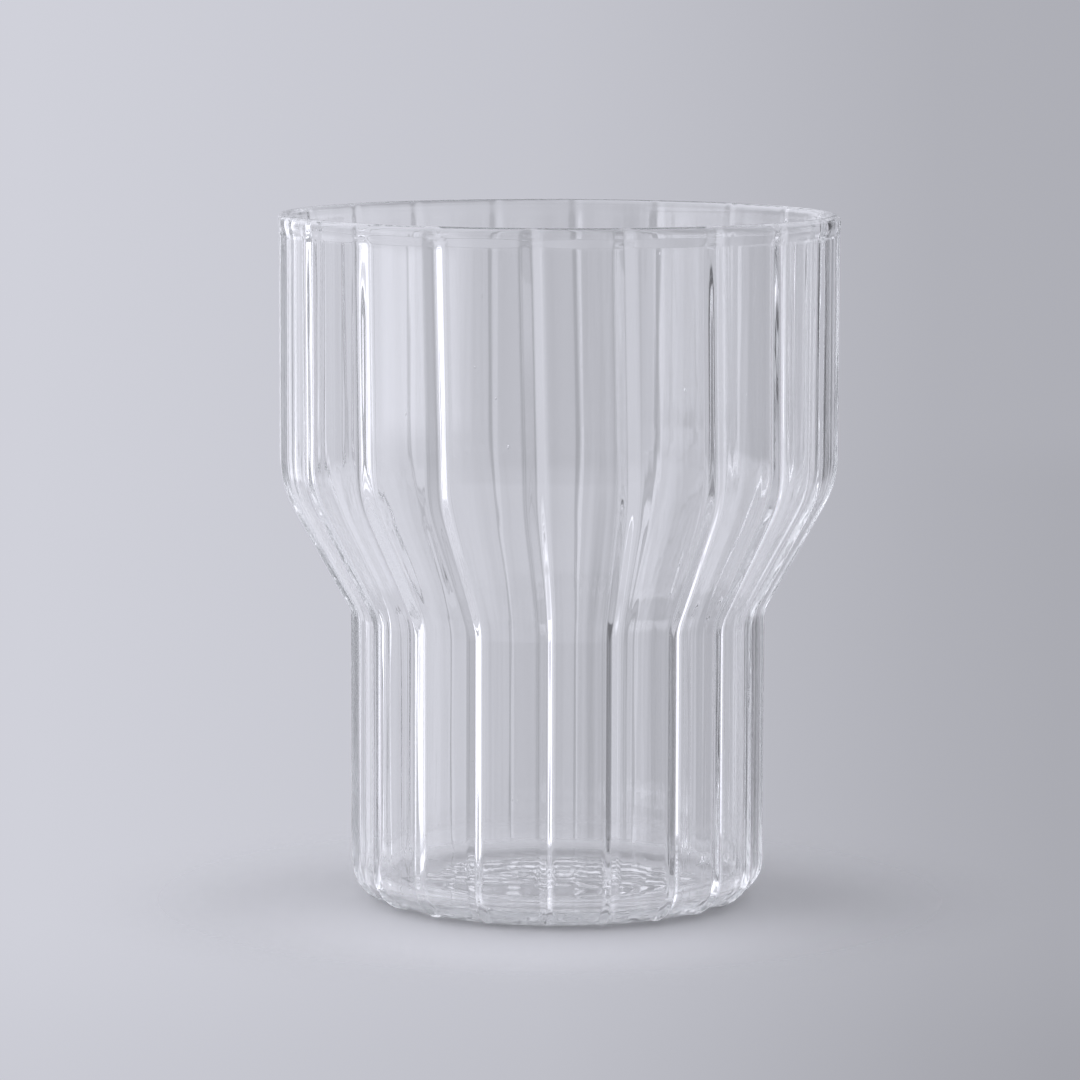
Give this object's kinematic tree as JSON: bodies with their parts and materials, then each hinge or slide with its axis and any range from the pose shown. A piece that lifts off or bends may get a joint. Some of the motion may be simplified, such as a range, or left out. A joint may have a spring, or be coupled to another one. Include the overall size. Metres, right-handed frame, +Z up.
{
  "type": "drinking glass",
  "caption": "Clear ribbed tumbler for tea or cold drinks: a wide upper bowl on a sloping shoulder and a narrower lower wall, with a rounded rim and a flat base to stand on.",
  "frame": {"origin": "middle of the flat ring that the glass stands on", "axes": "+Z up along the glass's axis; +X, -X, +Y and -Y each run through the crest of a rib"},
  "size_m": [0.082, 0.082, 0.1],
  "materials": {
    "glass": "clear colourless borosilicate glass, fire-polished"
  },
  "bodies": {
    "root": {"rim_bead": "glass", "upper_wall": "glass", "shoulder": "glass", "lower_wall": "glass", "heel": "glass", "base_disc": "glass"}
  },
  "joints": []
}
